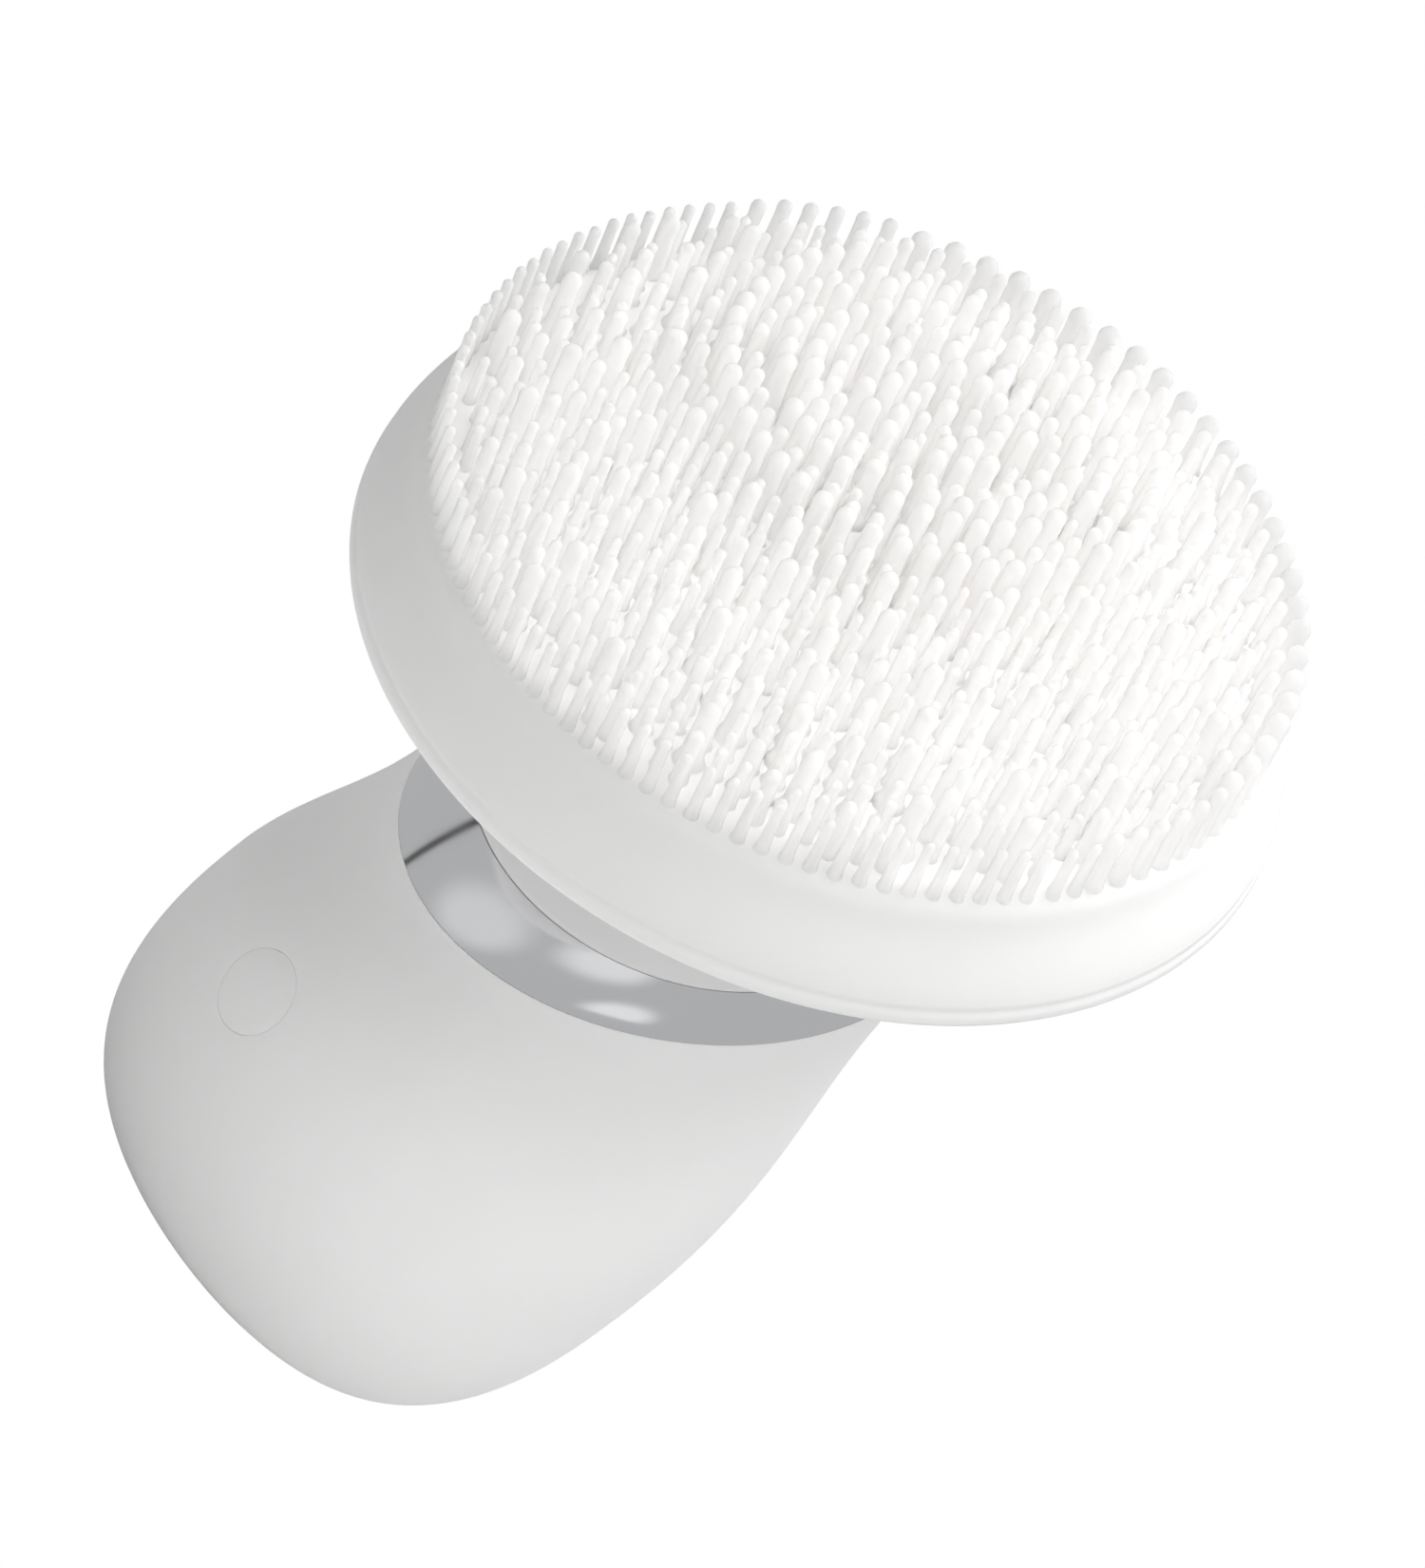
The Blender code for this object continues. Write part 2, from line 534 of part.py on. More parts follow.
# --- neck ---------------------------------------------------------------------------------------
def make_neck():
    """White collar under the head, the chrome ring round it, and the seals."""
    wall = 1.6 * MM
    skirt = 16.1 * MM
    rings = [
        head_ring(COLLAR_TOP_RADIUS, COLLAR_TOP),
        head_ring(COLLAR_TOP_RADIUS + 1.0 * MM, COLLAR_TOP - 1.0 * MM, 0.4 * MM),
        head_ring(14.4 * MM, -11.0 * MM, 1.8 * MM),
        head_ring(15.6 * MM, -15.0 * MM, 3.4 * MM),
        head_ring(COLLAR_RADIUS, RING_HIGH + 0.9 * MM, COLLAR_FRONT),
        head_ring(COLLAR_RADIUS, RING_HIGH, COLLAR_FRONT),
        head_ring(skirt, RING_HIGH - 0.3 * MM, COLLAR_FRONT),
        head_ring(skirt, SKIRT_END, COLLAR_FRONT),
        head_ring(skirt - wall, SKIRT_END, COLLAR_FRONT),
        head_ring(14.2 * MM, -15.0 * MM, 3.4 * MM),
        head_ring(11.8 * MM, COLLAR_TOP - 2.0 * MM, 0.6 * MM),
        head_ring(5.3 * MM, COLLAR_TOP - 2.0 * MM),
        head_ring(5.3 * MM, COLLAR_TOP),
    ]
    loft("neck_collar", rings, WHITE_PLASTIC, HEAD_AXIS, 36)

    side = NECK_SIDE + 0.1 * MM
    depth = NECK_DEPTH + 0.1 * MM
    rings = [
        head_ring(17.3 * MM, RING_HIGH + 0.3 * MM, COLLAR_FRONT),
        head_ring(17.9 * MM, -19.6 * MM, 4.6 * MM, 19.4 * MM),
        head_ring(18.4 * MM, -20.9 * MM, 4.2 * MM, 21.4 * MM),
        head_ring(side, RING_LOW + 0.3 * MM, RING_FRONT, depth),
        head_ring(side, RING_LOW, RING_FRONT, depth),
        head_ring(17.0 * MM, RING_LOW, RING_FRONT, 20.4 * MM),
        head_ring(16.8 * MM, -20.6 * MM, 4.6 * MM, 18.0 * MM),
        head_ring(17.1 * MM, RING_HIGH - 0.1 * MM, COLLAR_FRONT),
    ]
    loft("chrome_ring", rings, CHROME, HEAD_AXIS, 48)

    rings = [
        head_ring(skirt, SKIRT_END - GAP, COLLAR_FRONT),
        head_ring(skirt, COVER_HIGH + GAP, COLLAR_FRONT),
        head_ring(skirt - wall, COVER_HIGH + GAP, COLLAR_FRONT),
        head_ring(skirt - wall, SKIRT_END - GAP, COLLAR_FRONT),
    ]
    loft("neck_gasket", rings, RUBBER, HEAD_AXIS, 36)

    profile = [(5.0 * MM, -6.3 * MM), (5.0 * MM, -9.2 * MM), (2.3 * MM, -9.2 * MM),
               (2.3 * MM, -8.4 * MM), (3.4 * MM, -8.0 * MM), (2.3 * MM, -6.3 * MM)]
    turned("shaft_seal", profile, RUBBER, HEAD_AXIS, COARSE)


# --- inside the handle --------------------------------------------------------------------------
def make_chassis():
    """Tray for the battery, a plate for the circuit board, and a web with the motor's sleeve."""
    profile = [
        (18.0 * MM, 10.8 * MM),
        (16.3 * MM, 6.2 * MM),
        (12.6 * MM, 3.5 * MM),
        (0.0, 3.5 * MM),
    ]
    profile = [(0.0, 4.6 * MM), (14.2 * MM, 4.6 * MM), (15.4 * MM, 6.6 * MM), (17.0 * MM, 10.8 * MM)] + profile
    tray = turned("chassis", profile, FRAME_PLASTIC, None, MEDIUM)
    plate = box("board_plate", (14.0 * MM, 1.2 * MM, 18.2 * MM), (0.0, -14.3 * MM, 15.9 * MM), cutter=True)
    combine(tray, plate, "UNION")
    web_points = ((-14.4, 11.0), (-14.4, 24.6), (-10.5, 26.0), (1.5, 29.5), (5.5, 24.0), (3.0, 15.0), (3.0, 11.0))
    middle = PINION_AT.x
    mesh = outline_mesh("motor_web", [[(y * MM, z * MM) for y, z in reversed(web_points)]], -0.8 * MM, 0.8 * MM)
    mesh.transform(Matrix.Translation((middle, 0.0, 0.0)) @ Matrix.Rotation(math.pi / 2, 4, "Z")
                   @ Matrix.Rotation(math.pi / 2, 4, "X"))
    web = add_object("motor_web", mesh, None, cutter=True)
    combine(tray, web, "UNION")
    sleeve = rod_cutter("motor_sleeve", MOTOR_RADIUS + 1.5 * MM, -49.0 * MM, -41.0 * MM, MOTOR_AXIS, segments=24)
    combine(tray, sleeve, "UNION")
    room = rod_cutter("motor_room", MOTOR_RADIUS + GAP, -60.0 * MM, -34.6 * MM, MOTOR_AXIS, segments=24)
    combine(tray, room)


def make_electronics():
    height = BOARD_BOTTOM + BOARD_SIZE[2] / 2
    box("circuit_board", BOARD_SIZE, (0.0, BOARD_FRONT + BOARD_SIZE[1] / 2, height), BOARD_GREEN)
    switch_size = (4.4 * MM, 1.3 * MM, 4.4 * MM)
    switch = box("tact_switch", switch_size, (0.0, -17.95 * MM, BUTTON_HEIGHT), FRAME_PLASTIC)
    combine(switch, rod_cutter("plunger_hole", 1.1 * MM, 17.7 * MM, 19.5 * MM, BUTTON_AXIS))
    width, depth, thickness = BATTERY_SIZE
    centre = (0.0, 0.0, BATTERY_BOTTOM + thickness / 2)
    box("battery", (width, depth, thickness), centre, BATTERY_FILM, bevel=1.2 * MM)


def make_button():
    """Round power button, the plunger that it presses and the seal behind it; local +Z is outwards."""
    face = BULB_RADIUS
    profile = [
        (0.0, face),
        (BUTTON_RADIUS * 0.62, face - 0.05 * MM),
        (BUTTON_RADIUS, face - 0.35 * MM),
        (BUTTON_RADIUS, 19.9 * MM),
        (4.3 * MM, 19.9 * MM),
        (4.3 * MM, 19.5 * MM),
        (0.0, 19.5 * MM),
    ]
    turned("power_button", profile, SOFT_TOUCH, BUTTON_AXIS, 24)
    turned("switch_plunger", rod_profile(0.8 * MM, 18.3 * MM, 19.2 * MM), FRAME_PLASTIC, BUTTON_AXIS, 12)


CONTACT_OFFSET = 3.0 * MM
BASE_SCREW_OFFSET = 5.2 * MM


def make_base():
    """Flat base cap with two charging contacts, held by two screws over a gasket."""
    cap = turned("base_cap", rod_profile(BASE_OPENING - GAP, 0.0, 2.0 * MM), SOFT_TOUCH, None, MEDIUM)
    for number, side in enumerate((-1, 1), 1):
        at = (side * CONTACT_OFFSET, 0.0)
        combine(cap, rod_cutter(f"contact_hole_{number}", 1.3 * MM, -1.0 * MM, 4.0 * MM, at=at, segments=14))
        turned(f"charging_contact_{number}", rod_profile(1.0 * MM, 0.1 * MM, 3.1 * MM), GOLD, None, 14, at)
        at = (0.0, side * BASE_SCREW_OFFSET)
        profile = [(0.0, 4.0 * MM), (0.9 * MM, 4.0 * MM), (0.9 * MM, 1.2 * MM), (1.5 * MM, 1.2 * MM),
                   (1.5 * MM, -1.0 * MM), (0.0, -1.0 * MM)]
        combine(cap, turned(f"base_screw_hole_{number}", profile, None, None, 12, at, cutter=True))
        profile = [(0.0, 3.2 * MM), (0.6 * MM, 3.2 * MM), (0.6 * MM, 0.9 * MM), (1.2 * MM, 0.9 * MM),
                   (1.2 * MM, 0.2 * MM), (0.0, 0.2 * MM)]
        turned(f"base_screw_{number}", profile, STEEL, None, 12, at)
    tube("base_gasket", 7.0 * MM, 9.0 * MM, 2.5 * MM, 3.2 * MM, RUBBER, segments=24)


def make_leads():
    """Leads from the circuit board: two to the motor's terminals, two to the battery."""
    motor_left = ((-8.0, -15.4, 14.6), (-8.6, -13.6, 14.0), (-9.8, -10.0, 13.4), (-10.6, -4.0, 13.2),
                  (-10.6, 4.0, 13.2), (-9.4, 10.0, 13.4), (-7.0, 13.4, 13.4), (-5.0, 14.0, 13.8), (-4.2, 13.2, 14.7))
    motor_right = ((8.0, -15.4, 14.6), (8.6, -13.6, 14.0), (9.8, -10.0, 13.4), (10.6, -4.0, 13.2),
                   (10.0, 4.0, 13.2), (7.4, 9.6, 13.2), (3.4, 13.0, 13.2), (1.0, 14.0, 13.7), (-0.2, 13.2, 14.7))
    lead("motor_lead_red", motor_left, RED_WIRE)
    lead("motor_lead_black", motor_right, BLACK_WIRE)
    for name, side, material in (("battery_lead_red", -1, RED_WIRE), ("battery_lead_black", 1, BLACK_WIRE)):
        points = ((8.4, -9.4, 7.6), (8.5, -10.4, 7.9), (8.6, -11.6, 9.2), (8.5, -12.6, 10.8),
                  (8.2, -13.6, 12.2), (8.0, -14.6, 12.9), (8.0, -15.4, 13.1))
        lead(name, [(side * x, y, z) for x, y, z in points], material)


make_handle_skin()
make_bristle_pad()
make_pad_core()
make_backplate()
make_drive_socket()
make_head_magnet()
make_drive_shaft()
make_gears()
make_gearbox()
make_motor()
make_neck()
make_chassis()
make_electronics()
make_button()
make_base()
make_leads()
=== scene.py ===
"""Looks of the facial cleansing brush: fine surfaces, silicone bristles, materials, camera and light.

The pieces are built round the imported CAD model. Shapes on the tilted head are made in the head's
own frame: origin at the position of the head_spin joint, local +Z along the drive axis, local -Y to
the front and down.
"""
import json
import math
import random

import bmesh
import bpy
import numpy as np
from mathutils import Matrix, Vector
from mathutils.bvhtree import BVHTree


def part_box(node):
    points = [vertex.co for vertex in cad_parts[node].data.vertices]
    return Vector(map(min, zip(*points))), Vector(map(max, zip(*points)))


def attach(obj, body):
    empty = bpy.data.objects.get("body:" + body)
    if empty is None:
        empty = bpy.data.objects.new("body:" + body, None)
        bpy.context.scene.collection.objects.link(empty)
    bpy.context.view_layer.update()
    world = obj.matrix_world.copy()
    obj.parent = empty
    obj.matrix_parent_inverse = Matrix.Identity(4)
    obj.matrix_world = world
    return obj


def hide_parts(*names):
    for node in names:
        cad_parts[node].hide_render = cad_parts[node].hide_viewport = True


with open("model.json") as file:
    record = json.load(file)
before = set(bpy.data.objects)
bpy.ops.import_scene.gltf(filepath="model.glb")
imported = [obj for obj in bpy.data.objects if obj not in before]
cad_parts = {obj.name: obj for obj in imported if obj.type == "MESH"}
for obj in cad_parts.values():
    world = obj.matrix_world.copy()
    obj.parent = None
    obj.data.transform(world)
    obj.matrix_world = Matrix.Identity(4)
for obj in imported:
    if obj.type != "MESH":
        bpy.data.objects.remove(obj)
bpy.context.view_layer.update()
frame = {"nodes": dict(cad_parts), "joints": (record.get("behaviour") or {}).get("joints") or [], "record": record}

MM = 0.001
JOINTS = {joint["name"]: joint for joint in frame["joints"]}
HEAD_CENTRE = Vector(JOINTS["head_spin"]["pos_m"])
DRIVE_AXIS = Vector(JOINTS["head_spin"]["axis"]).normalized()
HEAD_TILT = math.atan2(-DRIVE_AXIS.y, DRIVE_AXIS.z)
HEAD_FRAME = Matrix.Translation(HEAD_CENTRE) @ Matrix.Rotation(HEAD_TILT, 4, "X")
UPRIGHT = Matrix.Identity(4)


def half_width(node):
    low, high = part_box(node)
    return (high.x - low.x) / 2


# --- meshes -------------------------------------------------------------------------------------
def new_piece(name, vertices, faces, material, body, smooth_angle=35.0):
    mesh = bpy.data.meshes.new(name)
    mesh.from_pydata([tuple(v) for v in vertices], [], faces)
    mesh.validate()
    shape = bmesh.new()
    shape.from_mesh(mesh)
    bmesh.ops.recalc_face_normals(shape, faces=shape.faces)
    shape.to_mesh(mesh)
    shape.free()
    mesh.shade_smooth()
    mesh.set_sharp_from_angle(angle=math.radians(smooth_angle))
    mesh.materials.append(material)
    piece = bpy.data.objects.new(name, mesh)
    bpy.context.scene.collection.objects.link(piece)
    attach(piece, body)
    return piece


def band(first, second, count):
    """Faces between two rings of count vertices each, whose vertices start at first and at second."""
    faces = []
    for i in range(count):
        j = (i + 1) % count
        faces.append((first + i, second + i, second + j, first + j))
    return faces


def revolve(name, profile, material, body, place=HEAD_FRAME, segments=192, angle=35.0):
    """Surface of revolution of (radius, height) points; points on the axis close it."""
    vertices = []
    rows = []
    for radius, height in profile:
        if radius < 1e-7:
            rows.append([len(vertices)] * segments)
            vertices.append(place @ Vector((0.0, 0.0, height)))
            continue
        rows.append(list(range(len(vertices), len(vertices) + segments)))
        for i in range(segments):
            turn = math.tau * i / segments
            vertices.append(place @ Vector((radius * math.cos(turn), radius * math.sin(turn), height)))
    faces = []
    for upper, lower in zip(rows, rows[1:]):
        for i in range(segments):
            j = (i + 1) % segments
            face = [upper[i], lower[i], lower[j], upper[j]]
            face = [v for k, v in enumerate(face) if v != face[k - 1]]
            if len(face) > 2:
                faces.append(face)
    return new_piece(name, vertices, faces, material, body, angle)


def loft(name, rings, material, body, place=UPRIGHT, segments=160, angle=35.0):
    """Closed skin through elliptical rings given as (centre, tilt, half width, half depth)."""
    vertices = []
    for centre, tilt, side, depth in rings:
        ring_place = place @ Matrix.Translation(centre) @ Matrix.Rotation(tilt, 4, "X")
        for i in range(segments):
            turn = math.tau * i / segments
            vertices.append(ring_place @ Vector((side * math.cos(turn), depth * math.sin(turn), 0.0)))
    faces = []
    for upper in range(len(rings)):
        lower = (upper + 1) % len(rings)
        faces += band(upper * segments, lower * segments, segments)
    return new_piece(name, vertices, faces, material, body, angle)


# --- materials ----------------------------------------------------------------------------------
POLISH_SIZE = 4.0                       # millimetres between smoother and rougher places


def node_material(name, colour, roughness, metallic=0.0, grain=0.0, grain_size=0.3, wave=0.0, wave_size=8.0,
                  mottle=0.0, mottle_size=6.0, polish=0.0, **sockets):
    """Principled material with a fine grain, a slow surface wave, a faint mottle and uneven polish.

    Sizes are in millimetres; grain and wave are bump heights in micrometres.
    """
    material = bpy.data.materials.new(name)
    material.use_nodes = True
    tree = material.node_tree
    shader = tree.nodes["Principled BSDF"]
    shader.inputs["Base Color"].default_value = (*colour, 1.0)
    shader.inputs["Roughness"].default_value = roughness
    shader.inputs["Metallic"].default_value = metallic
    for socket, value in sockets.items():
        shader.inputs[socket.replace("_", " ")].default_value = value
    coords = tree.nodes.new("ShaderNodeTexCoord")

    def noise(size, detail=2.0):
        texture = tree.nodes.new("ShaderNodeTexNoise")
        texture.inputs["Scale"].default_value = 1.0 / (size * MM)
        texture.inputs["Detail"].default_value = detail
        tree.links.new(coords.outputs["Object"], texture.inputs["Vector"])
        return texture.outputs["Fac"]

    def ranged(source, low, high):
        ramp = tree.nodes.new("ShaderNodeMapRange")
        ramp.inputs["From Min"].default_value = 0.3
        ramp.inputs["From Max"].default_value = 0.7
        ramp.inputs["To Min"].default_value = low
        ramp.inputs["To Max"].default_value = high
        tree.links.new(source, ramp.inputs["Value"])
        return ramp.outputs["Result"]

    if mottle:
        mix = tree.nodes.new("ShaderNodeMix")
        mix.data_type = "RGBA"
        factor, first, second, result = mix.inputs[0], mix.inputs[6], mix.inputs[7], mix.outputs[2]
        first.default_value = (*[c * (1.0 - mottle) for c in colour], 1.0)
        second.default_value = (*colour, 1.0)
        tree.links.new(ranged(noise(mottle_size, 3.0), 0.0, 1.0), factor)
        tree.links.new(result, shader.inputs["Base Color"])
    if polish:
        uneven = ranged(noise(POLISH_SIZE, 4.0), roughness - polish, roughness + polish)
        tree.links.new(uneven, shader.inputs["Roughness"])
    normal = None
    for height, size, detail in ((wave, wave_size, 1.0), (grain, grain_size, 3.0)):
        if height:
            bump = tree.nodes.new("ShaderNodeBump")
            bump.inputs["Distance"].default_value = height * 1e-6
            tree.links.new(noise(size, detail), bump.inputs["Height"])
            if normal:
                tree.links.new(normal, bump.inputs["Normal"])
            normal = bump.outputs["Normal"]
    if normal:
        tree.links.new(normal, shader.inputs["Normal"])
    return material


SILICONE = node_material("silicone", (0.905, 0.902, 0.897), 0.42, grain=6.0, grain_size=0.35, mottle=0.02,
                         mottle_size=9.0, polish=0.05, Subsurface_Weight=0.8, Subsurface_Scale=0.0012,
                         Subsurface_Radius=(1.0, 1.0, 1.0), IOR=1.41)
THIN_SILICONE = node_material("thin_silicone", (0.982, 0.978, 0.974), 0.60, grain=4.0, grain_size=0.3,
                              mottle=0.005, mottle_size=7.0, polish=0.05, Subsurface_Weight=1.0,
                              Subsurface_Scale=0.006, Subsurface_Radius=(1.0, 1.0, 1.0), IOR=1.05,
                              Transmission_Weight=0.50)
SOFT_TOUCH = node_material("soft_touch", (0.95, 0.946, 0.942), 0.52, grain=9.0, grain_size=0.22, mottle=0.018,
                           mottle_size=14.0, polish=0.05, Sheen_Weight=0.15, Sheen_Roughness=0.5)
GLOSS_WHITE = node_material("gloss_white", (0.84, 0.84, 0.838), 0.22, grain=1.5, grain_size=0.5, wave=3.0,
                            mottle=0.015, polish=0.04)
CHROME = node_material("chrome", (0.78, 0.785, 0.80), 0.10, 1.0, grain=0.25, grain_size=0.4, wave=6.0,
                       wave_size=9.0, polish=0.02)
STEEL = node_material("steel", (0.56, 0.57, 0.58), 0.36, 1.0, grain=4.0, grain_size=0.12, polish=0.06)
ACETAL = node_material("acetal", (0.82, 0.80, 0.73), 0.38, grain=5.0, grain_size=0.3, mottle=0.05,
                       polish=0.04)
FRAME_PLASTIC = node_material("frame_plastic", (0.09, 0.09, 0.095), 0.50, grain=12.0, grain_size=0.25,
                              mottle=0.12, polish=0.06)
BRONZE = node_material("sintered_bronze", (0.60, 0.43, 0.22), 0.38, 1.0, grain=14.0, grain_size=0.15,
                       mottle=0.2, mottle_size=0.4, polish=0.08)
RUBBER = node_material("sealing_rubber", (0.025, 0.025, 0.026), 0.62, grain=10.0, grain_size=0.3, polish=0.06)
BOARD = node_material("circuit_board", (0.02, 0.16, 0.07), 0.35, grain=6.0, grain_size=0.5, mottle=0.25,
                      mottle_size=1.2, polish=0.05)
BATTERY_FILM = node_material("battery_film", (0.18, 0.30, 0.48), 0.32, grain=4.0, wave=25.0, wave_size=3.0,
                             mottle=0.06, polish=0.05)
GOLD = node_material("gold_contact", (0.86, 0.66, 0.30), 0.18, 1.0, grain=2.0, grain_size=0.1, polish=0.05)
RED_WIRE = node_material("red_insulation", (0.55, 0.03, 0.02), 0.42, grain=4.0, mottle=0.1, polish=0.05)
BLACK_WIRE = node_material("black_insulation", (0.02, 0.02, 0.02), 0.42, grain=4.0, mottle=0.1, polish=0.05)

CAD_MATERIALS = {
    "silicone_white": SILICONE, "soft_touch_white": SOFT_TOUCH, "gloss_white_plastic": GLOSS_WHITE,
    "chrome_plating": CHROME, "steel": STEEL, "gear_acetal": ACETAL, "frame_plastic": FRAME_PLASTIC,
    "bronze": BRONZE, "black_rubber": RUBBER, "board_green": BOARD, "battery_film": BATTERY_FILM,
    "gold_plating": GOLD, "red_wire": RED_WIRE, "black_wire": BLACK_WIRE,
}


def dress_cad_nodes():
    slots = {part["node"]: part["material_slot"] for part in frame["record"]["subparts"]}
    for name, node in frame["nodes"].items():
        node.data.materials.clear()
        node.data.materials.append(CAD_MATERIALS[slots[name]])


# --- handle -------------------------------------------------------------------------------------
BULB_RADIUS = half_width("handle_skin")
BULB_HEIGHT = 20.4 * MM                 # of the widest circle
BASE_RADIUS = 9.1 * MM                  # of the flat the handle stands on
BASE_ROUNDNESS = 2.48                   # exponent of the rounded outline under the bulb
NECK_CENTRE = Vector((-3.58 * MM, 48.3 * MM))
NECK_SIDE = 18.75 * MM
NECK_DEPTH = 22.85 * MM
FRONT = (-1, math.radians(-3.4), 22.0 * MM, 4.5 * MM)       # side, lean at the neck, pull of neck and bulb
BACK = (1, math.radians(15.0), 57.0 * MM, 68.0 * MM)
BUTTON_CENTRE = (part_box("power_button")[0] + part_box("power_button")[1]) / 2
BUTTON_RADIUS = 3.45 * MM
BUTTON_GAP = 0.03 * MM
BUTTON_SIDES = 96
BUTTON_ROLL = 1.1 * MM                  # width of the finely meshed edge of the cap
CAP_THICKNESS = 1.3 * MM
OPENING_WALL = 1.2 * MM
SHOULDER_DEPTH = 0.07 * MM
SHOULDER_WIDTH = 0.45 * MM
BUTTON_REACH = BUTTON_RADIUS + 1.6 * MM     # the shoulder and the fine mesh end here
NECK_HEM = ((0.0, 0.25 * MM), (0.0, 1.2 * MM), (0.15, 1.6 * MM), (0.4, 1.6 * MM))   # way down, inset


def hermite(t, start, start_slope, end, end_slope):
    return (start * (2 * t ** 3 - 3 * t ** 2 + 1) + start_slope * (t ** 3 - 2 * t ** 2 + t)
            + end * (3 * t ** 2 - 2 * t ** 3) + end_slope * (t ** 3 - t ** 2))


def wall_point(t, side, lean, top_pull, bulb_pull):
    """Point of the front or back outline in the plane of symmetry."""
    top = NECK_CENTRE + side * NECK_DEPTH * Vector((math.cos(HEAD_TILT), math.sin(HEAD_TILT)))
    top_slope = top_pull * Vector((math.sin(lean), -math.cos(lean)))
    return hermite(t, top, top_slope, Vector((side * BULB_RADIUS, BULB_HEIGHT)), Vector((0.0, -bulb_pull)))


def upper_ring(t, inset=0.0):
    """Ring of the skin between the neck, t = 0, and the widest circle, t = 1."""
    front = wall_point(t, *FRONT)
    back = wall_point(t, *BACK)
    middle = (front + back) / 2
    across = back - front
    side = hermite(t, NECK_SIDE, 0.0, BULB_RADIUS, 0.0)
    tilt = math.atan2(across.y, across.x)
    return (Vector((0.0, middle.x, middle.y)), tilt, side - inset, across.length / 2 - inset)


def lower_ring(angle):
    """Ring of the skin between the widest circle, angle = 0, and the base."""
    drop = math.sin(angle)
    reach = (1.0 - drop ** BASE_ROUNDNESS) ** (1.0 / BASE_ROUNDNESS)
    radius = BASE_RADIUS + (BULB_RADIUS - BASE_RADIUS) * reach
    return (Vector((0.0, 0.0, BULB_HEIGHT * (1.0 - drop))), 0.0, radius, radius)


def ring_point(ring, turn):
    centre, tilt, side, depth = ring
    across = Vector((0.0, math.cos(tilt), math.sin(tilt)))
    return centre + Vector((side * math.cos(turn), 0.0, 0.0)) + across * (depth * math.sin(turn))


def spread_values(start, end, focus, half, coarse, fine):
    """Values from start to end with steps of fine within half of focus, coarse elsewhere."""
    values = [start]
    while values[-1] < end - coarse * 0.5:
        near = focus - half - coarse < values[-1] < focus + half
        values.append(values[-1] + (fine if near else coarse))
    values[-1] = end
    return values


def button_shoulder(distance):
    """Depth of the soft shoulder that rolls into the line round the button."""
    return SHOULDER_DEPTH * math.exp(-((distance - BUTTON_RADIUS) / SHOULDER_WIDTH) ** 2)


def button_distance(point):
    return math.hypot(point.x - BUTTON_CENTRE.x, point.z - BUTTON_CENTRE.z)


def button_turn(point):
    return math.atan2(point.z - BUTTON_CENTRE.z, point.x - BUTTON_CENTRE.x)


def on_surface(surface, radius, turn):
    """Point of the handle's front at a distance and turn from the button's axis."""
    start = BUTTON_CENTRE + Vector((radius * math.cos(turn), 0.0, radius * math.sin(turn)))
    start.y = -0.1
    return surface.ray_cast(start, Vector((0.0, 1.0, 0.0)))[0]


def skin_rings():
    """Rings of the skin from the neck down to the base, close together at the button's height."""
    shares = spread_values(0.0, 1.0, focus=1.0, half=0.16, coarse=1 / 60, fine=0.004)
    angles = spread_values(0.0, math.pi / 2, focus=0.0, half=0.26, coarse=0.045, fine=0.007)[1:]
    return [upper_ring(t) for t in shares] + [lower_ring(angle) for angle in angles]


def skin_turns():
    """Turns round the skin, starting at the back and close together at the button."""
    front = -math.pi / 2
    start = front - math.pi
    half = BUTTON_REACH / BULB_RADIUS
    return spread_values(start, front + math.pi, focus=front, half=half, coarse=0.04, fine=0.0065)[:-1]


def open_for_button(vertices, faces, surface):
    """Cuts the button's opening: moves its rim onto a circle, rolls the skin in and adds the wall."""
    kept = []
    rim = set()
    for face in faces:
        middle = sum((vertices[v] for v in face), Vector()) / 4
        if middle.y < 0 and button_distance(middle) < BUTTON_RADIUS:
            rim.update(face)
        else:
            kept.append(face)
    used = {v for face in kept for v in face}
    rim &= used
    for v in rim:
        vertices[v] = on_surface(surface, BUTTON_RADIUS, button_turn(vertices[v]))
    for v in used:
        distance = button_distance(vertices[v])
        if vertices[v].y < 0 and distance < BUTTON_REACH:
            vertices[v] = vertices[v] + Vector((0.0, button_shoulder(distance), 0.0))
    order = sorted(rim, key=lambda v: button_turn(vertices[v]))
    deep = len(vertices)
    vertices += [vertices[v] + Vector((0.0, OPENING_WALL, 0.0)) for v in order]
    for k, v in enumerate(order):
        after = (k + 1) % len(order)
        kept.append((v, order[after], deep + after, deep + k))
    return kept


def add_hem(vertices, faces, edge, rings, turns):
    """Continues the skin inwards through more rings, from the ring that starts at the index edge."""
    for ring in rings:
        first = len(vertices)
        vertices += [ring_point(ring, turn) for turn in turns]
        faces += band(edge, first, len(turns))
        edge = first


def flat_ring(radius, height):
    return (Vector((0.0, 0.0, height)), 0.0, radius, radius)


